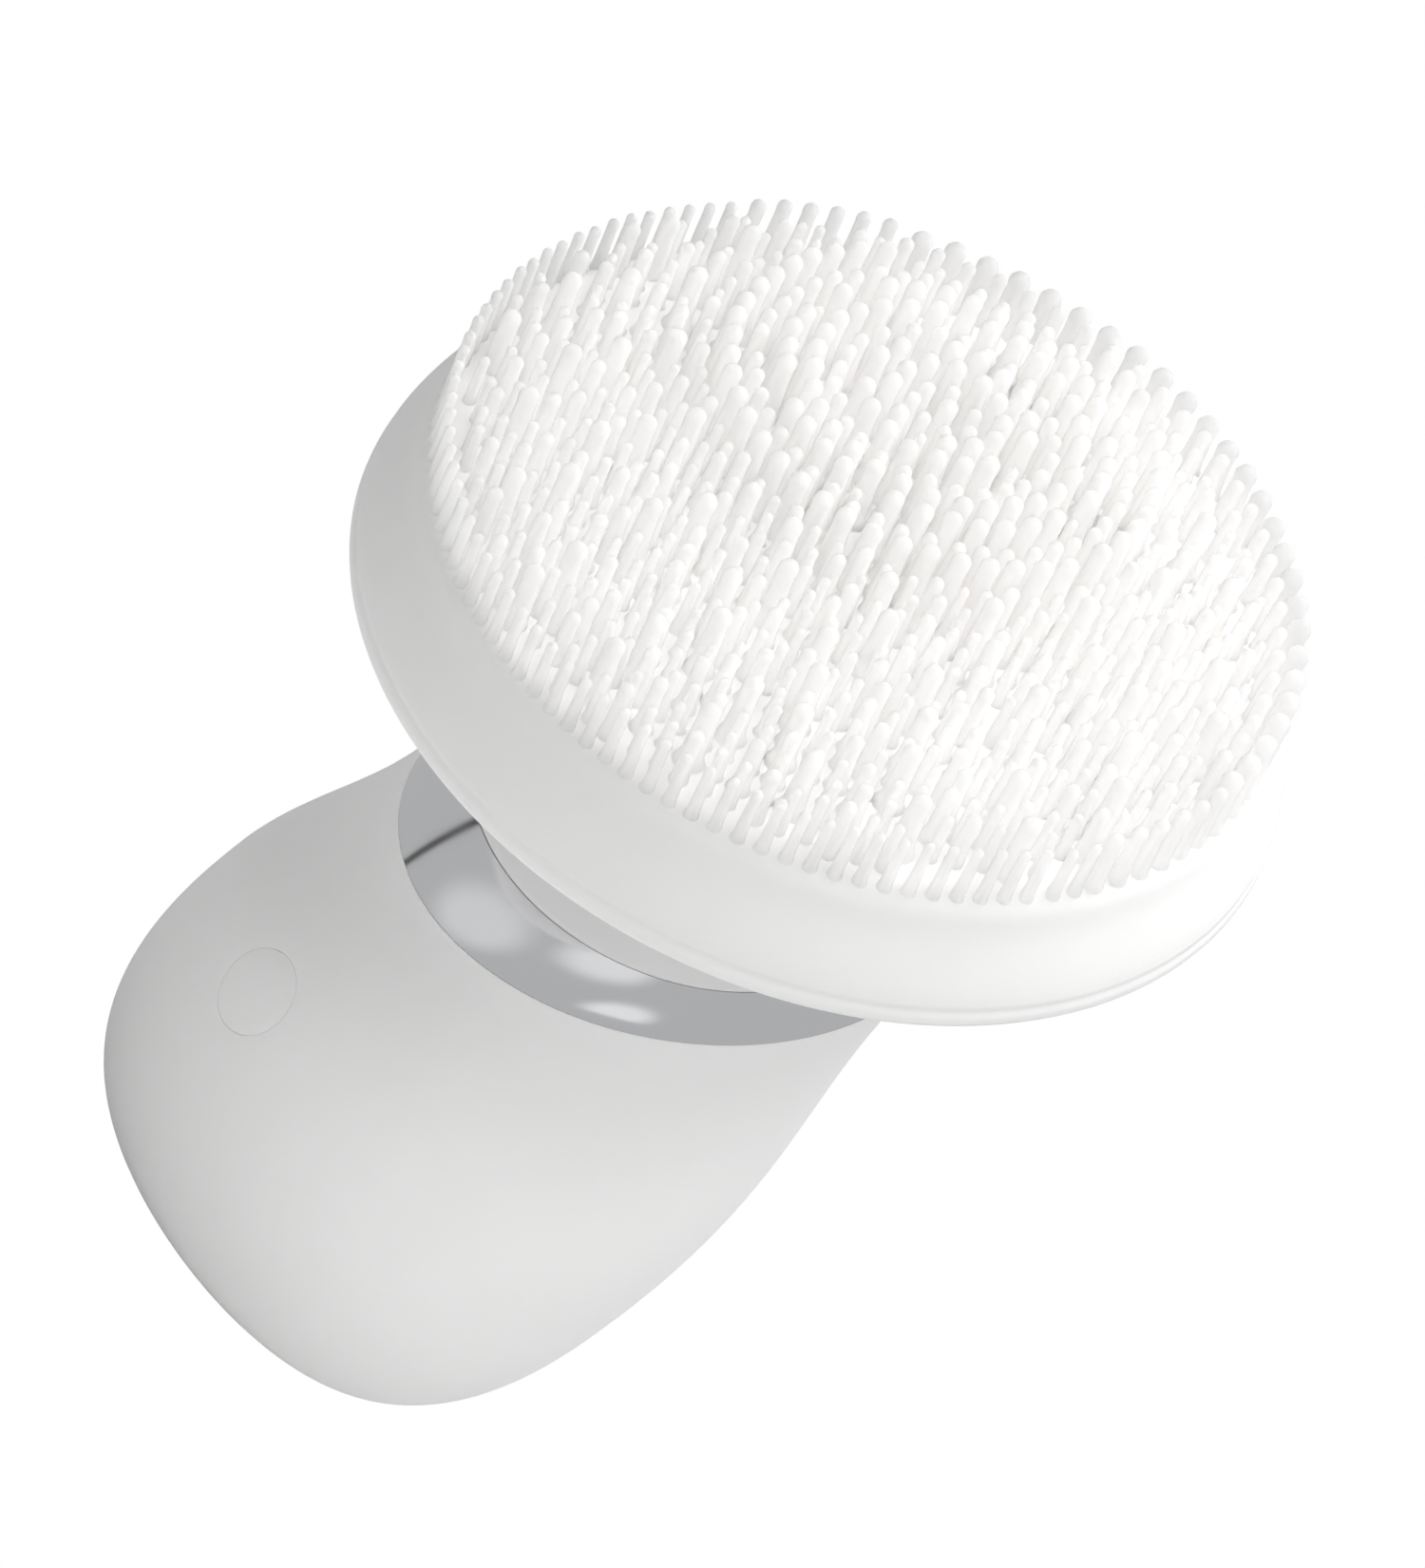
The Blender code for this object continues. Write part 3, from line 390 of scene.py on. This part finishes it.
def make_handle():
    """Handle skin with a round opening for the button, and hems that go inside at base and neck."""
    rings = skin_rings()
    turns = skin_turns()
    count = len(turns)
    vertices = [ring_point(ring, turn) for ring in rings for turn in turns]
    faces = []
    for level in range(len(rings) - 1):
        faces += band(level * count, (level + 1) * count, count)
    surface = BVHTree.FromPolygons(vertices, faces)
    faces = open_for_button(vertices, faces, surface)
    opening = half_width("base_cap") + 0.15 * MM
    chamfer = 0.25 * MM
    base_hem = [flat_ring(opening + chamfer, 0.0), flat_ring(opening, chamfer), flat_ring(opening, 2.0 * MM)]
    add_hem(vertices, faces, (len(rings) - 1) * count, base_hem, turns)
    add_hem(vertices, faces, 0, [upper_ring(t, inset) for t, inset in NECK_HEM], turns)
    skin = new_piece("handle_surface", *compact(vertices, faces), SOFT_TOUCH, "handle", 40.0)
    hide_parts("handle_skin")
    make_button(surface)


def compact(vertices, faces):
    """Vertices and faces without the points that no face uses."""
    used = sorted({v for face in faces for v in face})
    number = {v: k for k, v in enumerate(used)}
    return [vertices[v] for v in used], [tuple(number[v] for v in face) for face in faces]


def make_button(surface):
    """Button cap flush with the handle: a face with a rolled edge, a wall and a flat underside."""
    edge = BUTTON_RADIUS - BUTTON_GAP
    turns = [math.tau * k / BUTTON_SIDES for k in range(BUTTON_SIDES)]
    middle = on_surface(surface, 0.0, 0.0)
    vertices = [middle]
    radii = [edge * k / 12 for k in range(1, 9)] + [edge - BUTTON_ROLL * (1 - k / 12) for k in range(1, 13)]
    for radius in radii:
        sink = Vector((0.0, button_shoulder(radius + BUTTON_GAP * radius / edge), 0.0))
        vertices += [on_surface(surface, radius, turn) + sink for turn in turns]
    thickness = Vector((0.0, CAP_THICKNESS, 0.0))
    for radius in (edge, edge - 0.8 * MM):
        vertices += [on_surface(surface, radius, turn) + thickness for turn in turns]
    vertices.append(middle + thickness)
    rows = len(radii) + 2
    faces = [(0, 1 + k, 1 + (k + 1) % BUTTON_SIDES) for k in range(BUTTON_SIDES)]
    for row in range(rows - 1):
        faces += band(1 + row * BUTTON_SIDES, 1 + (row + 1) * BUTTON_SIDES, BUTTON_SIDES)
    last = 1 + (rows - 1) * BUTTON_SIDES
    faces += [(last + k, len(vertices) - 1, last + (k + 1) % BUTTON_SIDES) for k in range(BUTTON_SIDES)]
    cap = new_piece("button_cap", vertices, faces, SOFT_TOUCH, "button", 40.0)
    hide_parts("power_button")


# --- head ---------------------------------------------------------------------------------------
HEAD_RADIUS = half_width("bristle_pad")
PAD_TOP = 10.1 * MM                     # height of the pad's face in the head's frame
FIELD_RADIUS = 32.8 * MM                # of the field of bristles
FACE_RADIUS = 30.5 * MM                 # of the flat part of the pad's face
EDGE_ROUND = 2.9 * MM                   # rounding between face and wall
EDGE_TURN = math.radians(77.4)          # where the rounding passes into the wall
WALL_FOOT = 0.2 * MM                    # height at which the pad is widest
LIP_RADIUS = 28.2 * MM                  # of the circle at which the rounding of the lip would be level
LIP_DROP = 2.9 * MM
LIP_INSIDE = 31.5 * MM                  # the lip ends here, round the backplate
LIP_GROOVE = 0.13 * MM
LIP_GROOVE_AT = 1.2 * MM
LIP_GROOVE_WIDTH = 0.30 * MM


def refined(points, step):
    """The same outline with extra points, so that no side facet near the lip is longer than step."""
    out = [points[0]]
    for start, end in zip(points, points[1:]):
        count = 1
        if end.y < 3.0 * MM:
            count = max(1, math.ceil((end - start).length / step))
        out += [start.lerp(end, k / count) for k in range(1, count + 1)]
    return out


def pad_profile():
    """Side of the pad from its top face down round the wall and the lower lip, then underneath."""
    points = [Vector((0.0, PAD_TOP)), Vector((FACE_RADIUS, PAD_TOP))]
    for k in range(1, 9):
        turn = EDGE_TURN * k / 8
        points.append(Vector((FACE_RADIUS + EDGE_ROUND * math.sin(turn),
                              PAD_TOP - EDGE_ROUND * (1.0 - math.cos(turn)))))
    start = points[-1]
    for k in range(1, 13):
        t = k / 12
        points.append(Vector((start.x + (HEAD_RADIUS - start.x) * math.sin(t * math.pi / 2) ** 1.25,
                              WALL_FOOT + (start.y - WALL_FOOT) * (1.0 - t) ** 1.15)))
    points = [p - Vector((LIP_GROOVE * math.exp(-((p.y - LIP_GROOVE_AT) / LIP_GROOVE_WIDTH) ** 2), 0.0))
              for p in refined(points, 0.12 * MM)]
    for k in range(1, 15):
        turn = math.pi / 2 * k / 14
        points.append(Vector((LIP_RADIUS + (HEAD_RADIUS - LIP_RADIUS) * math.cos(turn) ** 1.24,
                              WALL_FOOT - LIP_DROP * math.sin(turn) ** 1.24)))
    return points


def make_pad():
    """Silicone pad: the outline above, then the hollow in which core and backplate sit."""
    points = [p for p in pad_profile() if p.y >= 0.0 or p.x >= LIP_INSIDE + 0.1 * MM]
    points += [Vector((LIP_INSIDE, points[-1].y)), Vector((LIP_INSIDE, -1.5 * MM)),
               Vector((33.4 * MM, -0.5 * MM)), Vector((33.3 * MM, 3.0 * MM)), Vector((31.0 * MM, 7.2 * MM)),
               Vector((0.0, 7.2 * MM))]
    pad = revolve("pad_surface", points, SILICONE, "head", segments=256, angle=50.0)
    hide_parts("bristle_pad")


# Bristles are laid out in millimetres in the plane of the head.
SWIRL_CENTRE = Vector((-9.0, 9.2))
SWIRL_RADIUS = 17.5                     # inside it the rings hold only medium and thick bristles
RING_SPACING = 2.05
RIM_CLEARANCE = 0.92                    # between the bristles of the rim row
SECOND_ROW_INSET = 1.6                  # of the staggered row behind the far rim
RING_CLEARANCE = 1.42                   # along a ring, from a bristle's side to the next one's axis
PLACE_SCATTER = 0.14
FILL_TRIES = 5000
FINE_BRISTLE = (0.43, 4.75)             # radius and height above the pad
MEDIUM_BRISTLE = (0.60, 5.3)
THICK_BRISTLE = (0.78, 6.1)
FAR_RIM_BRISTLE = (0.88, 5.3)
HEIGHT_SCATTER = 0.12
EDGE_SHORTENING = 0.55                  # how much lower a bristle at the rim is
HEIGHT_TRIM = 0.05                      # taken off every bristle, so that the tips stay in the CAD's box
BRISTLE_SIDES = 12


def rim_kind(turn):
    """The far rim carries thick bristles, the near one fine ones, and medium ones lead over."""
    if math.sin(turn) > 0.45:
        return FAR_RIM_BRISTLE
    return MEDIUM_BRISTLE if math.sin(turn) > 0.1 else FINE_BRISTLE


def ring_kind(number, radius, index):
    """Whole rings of thick or medium bristles near the swirl centre, mixed rows further out."""
    if radius < SWIRL_RADIUS:
        return THICK_BRISTLE if number % 3 != 1 else MEDIUM_BRISTLE
    if number % 2:
        return (FINE_BRISTLE, MEDIUM_BRISTLE)[index % 3 == 0]
    return (FINE_BRISTLE, THICK_BRISTLE, FINE_BRISTLE, MEDIUM_BRISTLE)[index % 4]


def place_bristle(placed, radius, turn, kind, gap, centre=Vector((0.0, 0.0)), shift=(0.0, 0.0)):
    """Adds a bristle at a radius and turn round centre, if it stays on the field and clear of the others."""
    x = centre.x + radius * math.cos(turn) + shift[0]
    y = centre.y + radius * math.sin(turn) + shift[1]
    if math.hypot(x, y) > FIELD_RADIUS / MM - kind[0] + 0.3:
        return
    for other_x, other_y, other in placed:
        if (x - other_x) ** 2 + (y - other_y) ** 2 < (kind[0] + gap + other[0]) ** 2:
            return
    placed.append((x, y, kind))


def add_rim_rows(placed):
    """The row along the rim and, at the far side, a second one staggered behind it."""
    turn = 0.0
    while turn < math.tau - 0.04:
        kind = rim_kind(turn)
        radius = FIELD_RADIUS / MM - kind[0]
        place_bristle(placed, radius, turn, kind, 0.2)
        step = (kind[0] * 2 + RIM_CLEARANCE) / radius
        if kind is FAR_RIM_BRISTLE:
            place_bristle(placed, radius - SECOND_ROW_INSET, turn + step / 2, MEDIUM_BRISTLE, 0.3)
        turn += step


def add_swirl_rings(placed):
    """Rings round the swirl centre that go on to the far edge of the field."""
    number = 0
    radius = 0.3
    while radius < 46.0:
        turn = number * 2.4
        end = turn + math.tau
        index = 0
        while turn < end:
            kind = ring_kind(number, radius, index)
            shift = [random.uniform(-PLACE_SCATTER, PLACE_SCATTER) for _ in range(2)]
            place_bristle(placed, radius, turn, kind, 0.42, SWIRL_CENTRE, shift)
            turn += (kind[0] + RING_CLEARANCE) / max(radius, 1.0)
            index += 1
        number += 1
        radius += RING_SPACING


def bristle_layout():
    """Places and kinds of the bristles: rim rows, rings round the swirl centre, fine ones in the gaps."""
    random.seed(7)
    placed = []
    add_rim_rows(placed)
    add_swirl_rings(placed)
    for _ in range(FILL_TRIES):
        turn = random.uniform(0.0, math.tau)
        radius = FIELD_RADIUS / MM * math.sqrt(random.random())
        place_bristle(placed, radius, turn, FINE_BRISTLE, 0.62)
    return placed


def bristle_profile(radius, height, spread):
    """Outline of one bristle as (radius, height): flared root, slim shaft, round tip without its point."""
    base = PAD_TOP - 0.2 * MM - max(0.0, spread - 0.93) * 9.0 * MM
    top = PAD_TOP + height
    flare = 0.9 if spread < 0.9 else 0.35
    root = [(radius * (1.0 + flare), base), (radius * (1.0 + 0.4 * flare), base + 0.4 * MM),
            (radius * (1.0 + 0.14 * flare), base + 1.1 * MM)]
    shaft = [(radius * 0.93, top - radius * 2.6), (radius * 0.94, top - radius * 1.6)]
    tip = [(radius * math.cos(a), top - radius * (1.0 - math.sin(a))) for a in (0.0, 0.4, 0.8, 1.15)]
    return root + shaft + tip


def make_bristles():
    """Round-tipped pins on the pad, each with a small fillet at its root."""
    vertices = []
    faces = []
    for x, y, (radius, height) in bristle_layout():
        spread = math.hypot(x, y) / (FIELD_RADIUS / MM)
        scatter = random.uniform(-HEIGHT_SCATTER, HEIGHT_SCATTER)
        height = (height - HEIGHT_TRIM - EDGE_SHORTENING * spread ** 4 + scatter) * MM
        profile = bristle_profile(radius * MM, height, spread)
        first = len(vertices)
        for ring_radius, z in profile:
            for k in range(BRISTLE_SIDES):
                turn = math.tau * k / BRISTLE_SIDES
                vertices.append(HEAD_FRAME @ Vector((x * MM + ring_radius * math.cos(turn),
                                                     y * MM + ring_radius * math.sin(turn), z)))
        tip = len(vertices)
        vertices.append(HEAD_FRAME @ Vector((x * MM, y * MM, PAD_TOP + height)))
        for level in range(len(profile) - 1):
            start = first + level * BRISTLE_SIDES
            faces += band(start + BRISTLE_SIDES, start, BRISTLE_SIDES)
        last = tip - BRISTLE_SIDES
        faces += [(last + k, last + (k + 1) % BRISTLE_SIDES, tip) for k in range(BRISTLE_SIDES)]
    bristles = new_piece("bristles", vertices, faces, THIN_SILICONE, "head", 180.0)


# --- neck ---------------------------------------------------------------------------------------
def head_ring(side, height, forward=0.0, depth=None):
    """Ring in the head's frame, moved forward; round unless a depth is given."""
    return (Vector((0.0, -forward, height)), 0.0, side, depth or side)


def blend_rings(keys, steps):
    """Smooth run of rings through a few key ones (Catmull-Rom on every number)."""
    rows = [np.array([*centre, side, depth]) for centre, _, side, depth in keys]
    rows = [2 * rows[0] - rows[1]] + rows + [2 * rows[-1] - rows[-2]]
    rings = []
    for i in range(1, len(rows) - 2):
        a, b, c, d = rows[i - 1:i + 3]
        last = i == len(rows) - 3
        for k in range(steps + (1 if last else 0)):
            t = k / steps
            row = 0.5 * (2 * b + (c - a) * t + (2 * a - 5 * b + 4 * c - d) * t * t
                         + (3 * b - a - 3 * c + d) * t ** 3)
            rings.append((Vector(row[:3]), 0.0, row[3], row[4]))
    return rings


def make_collar():
    """Collar between ring and head, with the bearing's hole on top and a hollow underneath."""
    keys = [
        head_ring(12.4 * MM, -6.0 * MM),
        head_ring(13.4 * MM, -7.2 * MM, 0.4 * MM),
        head_ring(14.4 * MM, -11.0 * MM, 1.8 * MM),
        head_ring(15.6 * MM, -15.0 * MM, 3.4 * MM),
        head_ring(16.75 * MM, -17.9 * MM, 4.9 * MM),
        head_ring(16.8 * MM, -18.5 * MM, 4.9 * MM),
    ]
    rings = [head_ring(5.3 * MM, -7.6 * MM), head_ring(5.3 * MM, -6.2 * MM), head_ring(5.5 * MM, -6.0 * MM)]
    rings += blend_rings(keys, 8)
    rings += [head_ring(16.0 * MM, -18.7 * MM, 4.9 * MM), head_ring(16.0 * MM, -21.5 * MM, 4.9 * MM),
              head_ring(14.6 * MM, -21.5 * MM, 4.9 * MM), head_ring(14.2 * MM, -15.0 * MM, 3.4 * MM),
              head_ring(11.8 * MM, -8.0 * MM, 0.6 * MM)]
    collar = loft("collar_surface", rings, GLOSS_WHITE, "handle", HEAD_FRAME, 160, 40.0)
    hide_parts("neck_collar")


RING_TOP = (16.9 * MM, 17.0 * MM, -18.35 * MM, 4.9 * MM)       # side, depth, height, forward
RING_BOTTOM = (18.83 * MM, 22.93 * MM, -22.18 * MM, 3.95 * MM)
RING_BARREL = 0.22 * MM


def make_ring():
    """Chrome ring: a slightly barrelled band that flares from the collar to the handle."""
    rings = []
    steps = 32
    for k in range(steps + 1):
        t = k / steps
        side, depth, height, forward = (low + (high - low) * t for low, high in zip(RING_TOP, RING_BOTTOM))
        barrel = RING_BARREL * 4 * t * (1 - t)
        rings.append(head_ring(side + barrel, height, forward, depth + barrel))
    side, depth, height, forward = RING_BOTTOM
    rings += [head_ring(side - 0.4 * MM, height, forward, depth - 0.4 * MM),
              head_ring(17.0 * MM, height, forward, 20.4 * MM),
              head_ring(16.85 * MM, -20.6 * MM, 4.6 * MM, 18.0 * MM)]
    ring = loft("ring_surface", rings, CHROME, "handle", HEAD_FRAME, 256, 50.0)
    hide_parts("chrome_ring")


# --- studio -------------------------------------------------------------------------------------
# The camera was fitted to the outlines of the object in the photograph.
CAMERA_AT = Vector((0.23429, -0.34858, 0.16148))
CAMERA_LOOK = Vector((-0.54914, 0.79723, -0.25075))
CAMERA_RIGHT = Vector((0.38834, 0.50909, 0.76813))
CAMERA_LENS = 130.91
BACKDROP_WHITE = 1.0
MIRRORED_WHITE = 0.52
FILL_WHITE = 0.19
FLOOR_HALF = 3.0
FLOOR_DROP = 0.05 * MM                  # of the floor below the base
LIGHT_BOUNCES = 28                      # many, so that light spreads through the bristles
DIFFUSE_BOUNCES = 24
TRANSMISSION_BOUNCES = 24


def make_camera():
    camera = bpy.data.cameras.new("camera")
    camera.lens = CAMERA_LENS
    camera.sensor_width = 36.0
    camera.clip_start = 0.01
    holder = bpy.data.objects.new("camera", camera)
    look = CAMERA_LOOK.normalized()
    right = (CAMERA_RIGHT - look * CAMERA_RIGHT.dot(look)).normalized()
    up = right.cross(look)
    rotation = Matrix((right, up, -look)).transposed().to_4x4()
    holder.matrix_world = Matrix.Translation(CAMERA_AT) @ rotation
    bpy.context.scene.collection.objects.link(holder)
    bpy.context.scene.camera = holder


def make_world(seen, mirrored, filled):
    """White surroundings: one strength as a backdrop, one in mirrors and one as fill light."""
    world = bpy.data.worlds.new("studio")
    bpy.context.scene.world = world
    world.use_nodes = True
    tree = world.node_tree
    background = tree.nodes["Background"]
    background.inputs["Color"].default_value = (1.0, 1.0, 1.0, 1.0)
    path = tree.nodes.new("ShaderNodeLightPath")
    level = None
    for ray, strength in (("Is Glossy Ray", mirrored), ("Is Camera Ray", seen)):
        step = tree.nodes.new("ShaderNodeMapRange")
        step.inputs["To Min"].default_value = filled
        step.inputs["To Max"].default_value = strength
        tree.links.new(path.outputs[ray], step.inputs["Value"])
        if level:
            tree.links.new(level, step.inputs["To Min"])
        level = step.outputs["Result"]
    tree.links.new(level, background.inputs["Strength"])


# The powers were first fitted to the photograph's brightness, then rounded and changed in steps until
# renders came near its brightness at chosen places.
LIT_POINT = Vector((0.0, -0.01, 0.05))
SOFTBOX_DISTANCE = 0.5
SOFTBOX_SIZE = 0.35
SOFTBOXES = (                # name, azimuth and elevation in degrees, power in watts
    ("overhead", 0, 90, 1.40),
    ("right_high", 0, 55, 0.88),
    ("front_right_high", 300, 55, 0.74),
    ("left_high", 180, 55, 0.32),
    ("back_high", 120, 55, 0.24),
    ("front_low", 330, 14, 0.17),
    ("back_low", 90, 14, 0.18),
)


def direction(azimuth, elevation):
    """Unit vector towards a compass direction from +X over +Y, in degrees."""
    azimuth = math.radians(azimuth)
    elevation = math.radians(elevation)
    return Vector((math.cos(elevation) * math.cos(azimuth), math.cos(elevation) * math.sin(azimuth),
                   math.sin(elevation)))


def make_softboxes():
    """Round area lights aimed at the brush; mirrors see the soft cards instead of them."""
    for name, azimuth, elevation, power in SOFTBOXES:
        out = direction(azimuth, elevation)
        light = bpy.data.lights.new(name, "AREA")
        light.shape = "DISK"
        light.size = SOFTBOX_SIZE
        light.energy = power
        holder = bpy.data.objects.new(name, light)
        holder.location = LIT_POINT + out * SOFTBOX_DISTANCE
        holder.rotation_euler = (-out).to_track_quat("-Z", "Y").to_euler()
        holder.visible_glossy = False
        bpy.context.scene.collection.objects.link(holder)


MIRRORED_CARDS = (           # name, azimuth, elevation, half width and half height in degrees, brightness
    ("card_left", -98, 7, 22, 12, 0.74),
    ("card_middle", -58, 16, 22, 9, 0.86),
    ("card_right", -28, -2, 17, 8, 0.93),
    ("card_dark", -133, 0, 2.1, 60, 0.02),
)
CARD_DISTANCE = 0.6


def square(name, half):
    mesh = bpy.data.meshes.new(name)
    corners = [(-half, -half, 0), (half, -half, 0), (half, half, 0), (-half, half, 0)]
    mesh.from_pydata(corners, [], [(0, 1, 2, 3)])
    return mesh


def card_material(name, brightness):
    """Glow in the middle of a card that fades to clear at its edge."""
    material = bpy.data.materials.new(name)
    material.use_nodes = True
    tree = material.node_tree
    tree.nodes.remove(tree.nodes["Principled BSDF"])
    coords = tree.nodes.new("ShaderNodeTexCoord")
    fade = tree.nodes.new("ShaderNodeTexGradient")
    fade.gradient_type = "SPHERICAL"
    soften = tree.nodes.new("ShaderNodeMapRange")
    soften.interpolation_type = "SMOOTHSTEP"
    soften.inputs["From Max"].default_value = 0.6
    glow = tree.nodes.new("ShaderNodeEmission")
    glow.inputs["Strength"].default_value = brightness
    clear = tree.nodes.new("ShaderNodeBsdfTransparent")
    mix = tree.nodes.new("ShaderNodeMixShader")
    tree.links.new(coords.outputs["Object"], fade.inputs["Vector"])
    tree.links.new(fade.outputs["Fac"], soften.inputs["Value"])
    tree.links.new(soften.outputs["Result"], mix.inputs["Fac"])
    tree.links.new(clear.outputs["BSDF"], mix.inputs[1])
    tree.links.new(glow.outputs["Emission"], mix.inputs[2])
    tree.links.new(mix.outputs["Shader"], tree.nodes["Material Output"].inputs["Surface"])
    return material


def make_cards():
    """Soft-edged cards that only mirrors see: the pale patches and the dark line on the chrome ring."""
    middle = sum(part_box("chrome_ring"), Vector()) / 2
    for name, azimuth, elevation, half_across, half_up, brightness in MIRRORED_CARDS:
        out = direction(azimuth, elevation)
        mesh = square(name, 1.0)
        mesh.materials.append(card_material(name, brightness))
        card = bpy.data.objects.new(name, mesh)
        card.location = middle + out * CARD_DISTANCE
        card.rotation_euler = (-out).to_track_quat("Z", "Y").to_euler()
        card.scale = (CARD_DISTANCE * math.tan(math.radians(half_across)),
                      CARD_DISTANCE * math.tan(math.radians(half_up)), 1.0)
        card.visible_camera = False
        card.visible_diffuse = False
        card.visible_shadow = False
        card.visible_transmission = False
        bpy.context.scene.collection.objects.link(card)


def make_floor():
    """Pale matt floor that looks as white as the backdrop to the camera and to mirrors."""
    mesh = square("floor", FLOOR_HALF)
    floor = bpy.data.objects.new("floor", mesh)
    floor.location.z = -FLOOR_DROP
    bpy.context.scene.collection.objects.link(floor)
    material = node_material("floor", (0.80, 0.80, 0.80), 0.9, grain=20.0, grain_size=1.0,
                             Specular_IOR_Level=0.0)
    tree = material.node_tree
    path = tree.nodes.new("ShaderNodeLightPath")
    surface = tree.nodes["Principled BSDF"].outputs["BSDF"]
    for ray, strength in (("Is Glossy Ray", MIRRORED_WHITE), ("Is Camera Ray", BACKDROP_WHITE)):
        glow = tree.nodes.new("ShaderNodeEmission")
        glow.inputs["Strength"].default_value = strength
        mix = tree.nodes.new("ShaderNodeMixShader")
        tree.links.new(path.outputs[ray], mix.inputs["Fac"])
        tree.links.new(surface, mix.inputs[1])
        tree.links.new(glow.outputs["Emission"], mix.inputs[2])
        surface = mix.outputs["Shader"]
    tree.links.new(surface, tree.nodes["Material Output"].inputs["Surface"])
    mesh.materials.append(material)


def make_studio():
    make_world(BACKDROP_WHITE, MIRRORED_WHITE, FILL_WHITE)
    make_softboxes()
    make_cards()
    make_floor()
    scene = bpy.context.scene
    scene.view_settings.view_transform = "Standard"
    scene.cycles.max_bounces = LIGHT_BOUNCES
    scene.cycles.diffuse_bounces = DIFFUSE_BOUNCES
    scene.cycles.transmission_bounces = TRANSMISSION_BOUNCES


make_camera()
dress_cad_nodes()
make_handle()
make_pad()
make_bristles()
make_collar()
make_ring()
make_studio()
